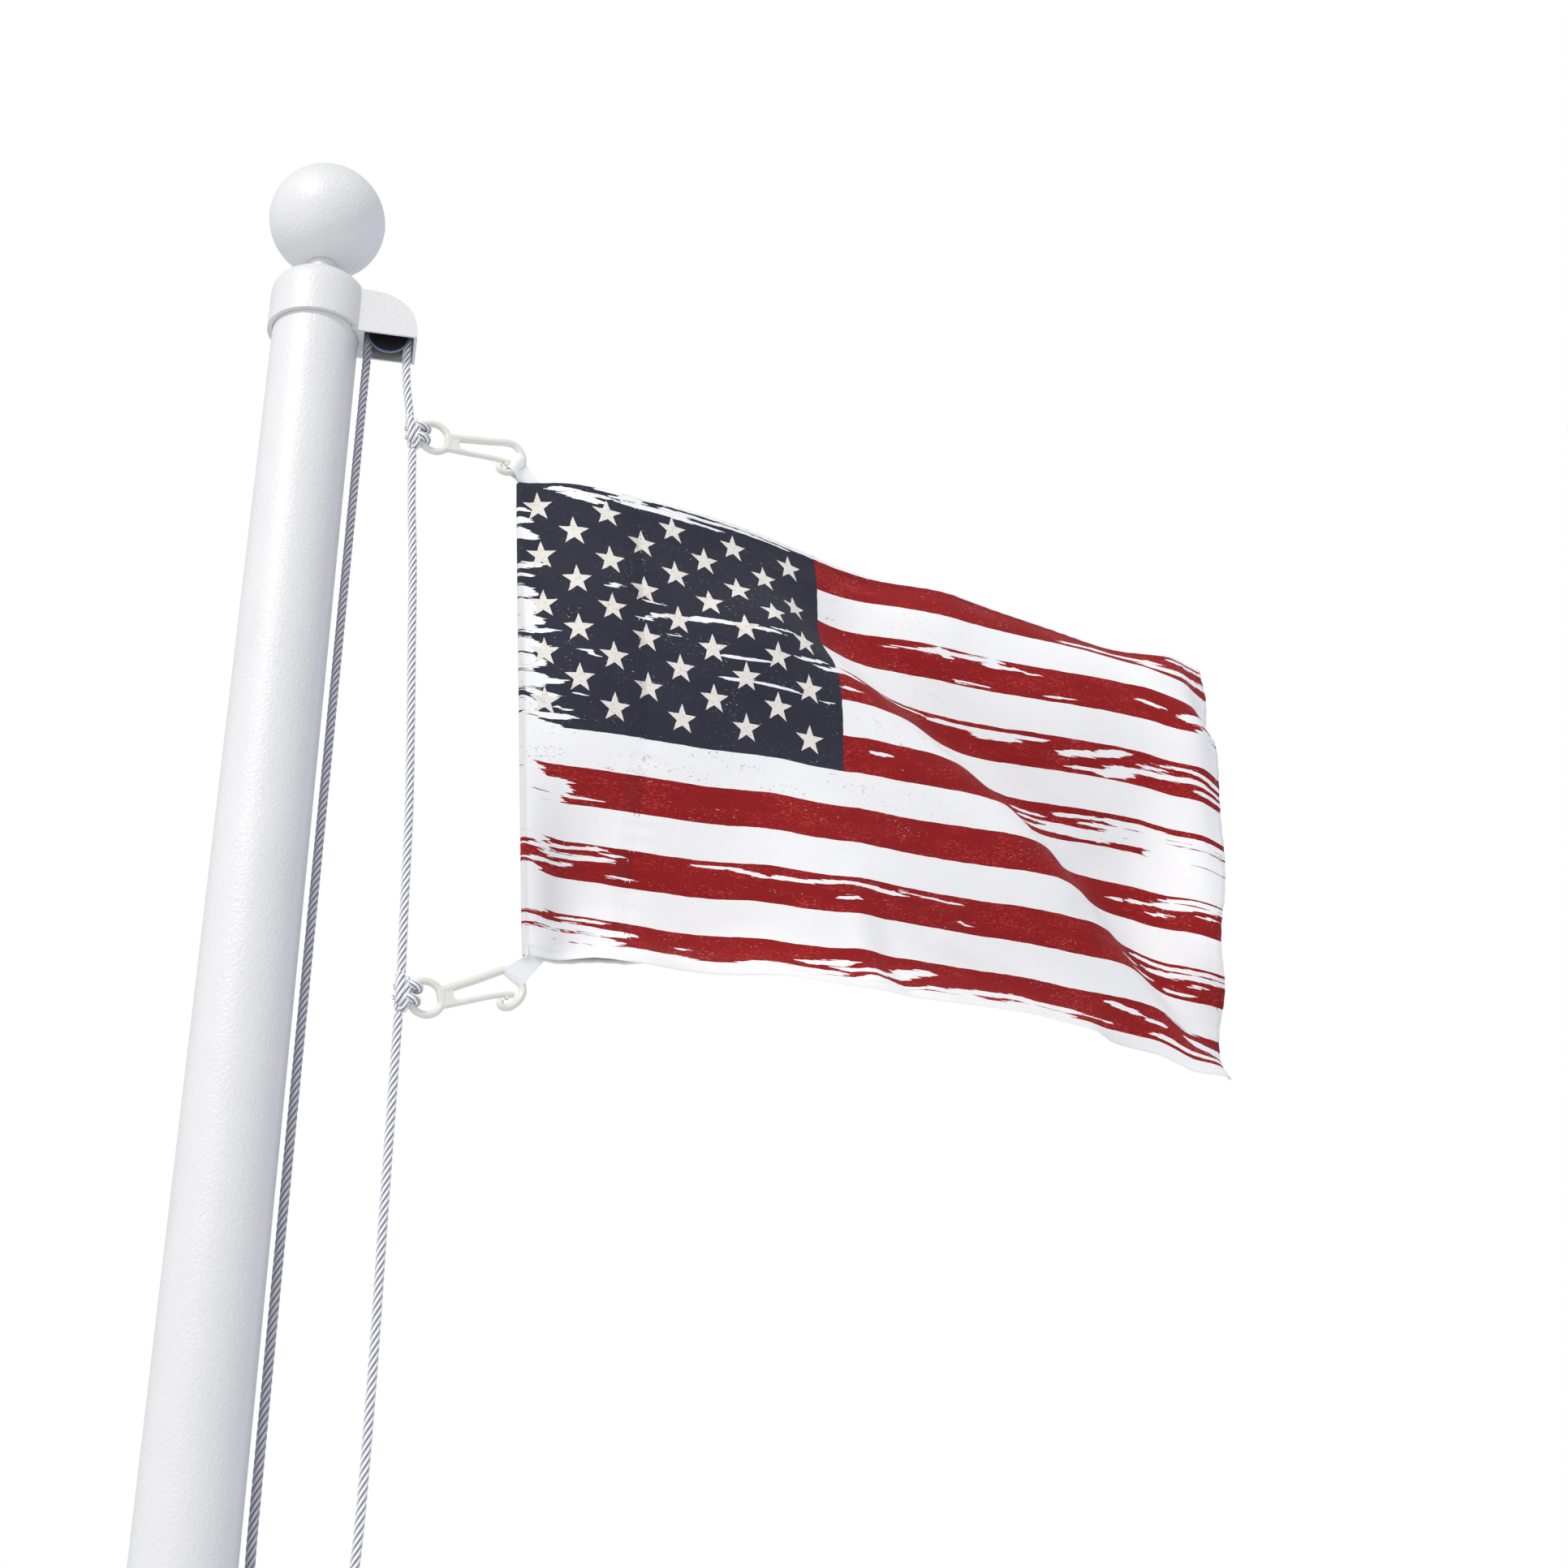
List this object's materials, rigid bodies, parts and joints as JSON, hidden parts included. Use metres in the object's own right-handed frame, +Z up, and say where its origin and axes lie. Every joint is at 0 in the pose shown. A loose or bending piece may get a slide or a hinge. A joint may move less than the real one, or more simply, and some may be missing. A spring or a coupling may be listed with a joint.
{
  "type": "small flag on a halyard with a cut length of flagpole",
  "caption": "Small rectangular flag clipped to a rope halyard that runs over a pulley in the cap of a tubular pole, with a ball on top.",
  "frame": {"origin": "centre of the face in which the pole is cut off", "axes": "+Z up the pole's axis, +X from the pole's axis towards the pulley and the flag's side, +Y away from the camera of the picture"},
  "size_m": [0.781, 0.2411, 1.1213],
  "materials": {
    "pole_paint": "white gloss paint with a fine orange peel",
    "cap_paint": "white gloss paint on a casting",
    "ball_paint": "white gloss, slightly orange-peeled",
    "sheave_nylon": "dark, worn in the groove",
    "pin_steel": "plain",
    "cleat_paint": "white paint",
    "rope": "white twisted rope",
    "clip_nylon": "moulded, cream white",
    "flag_polyester": "woven and printed in red, white and dark blue",
    "label_satin": "white satin ribbon, blank",
    "tab_webbing": "white webbing"
  },
  "bodies": {
    "root": {"pole": "pole_paint", "cap_casting": "cap_paint", "ball": "ball_paint", "sheave": "sheave_nylon", "sheave_pin": "pin_steel", "cleat": "cleat_paint", "halyard_hoist": "rope", "halyard_between": "rope", "halyard_return": "rope", "halyard_turns": "rope", "knot_upper": "rope", "knot_lower": "rope", "clip_upper": "clip_nylon", "clip_lower": "clip_nylon", "flag_cloth": "flag_polyester", "care_label": "label_satin", "tab_upper": "tab_webbing", "tab_lower": "tab_webbing"}
  },
  "joints": []
}
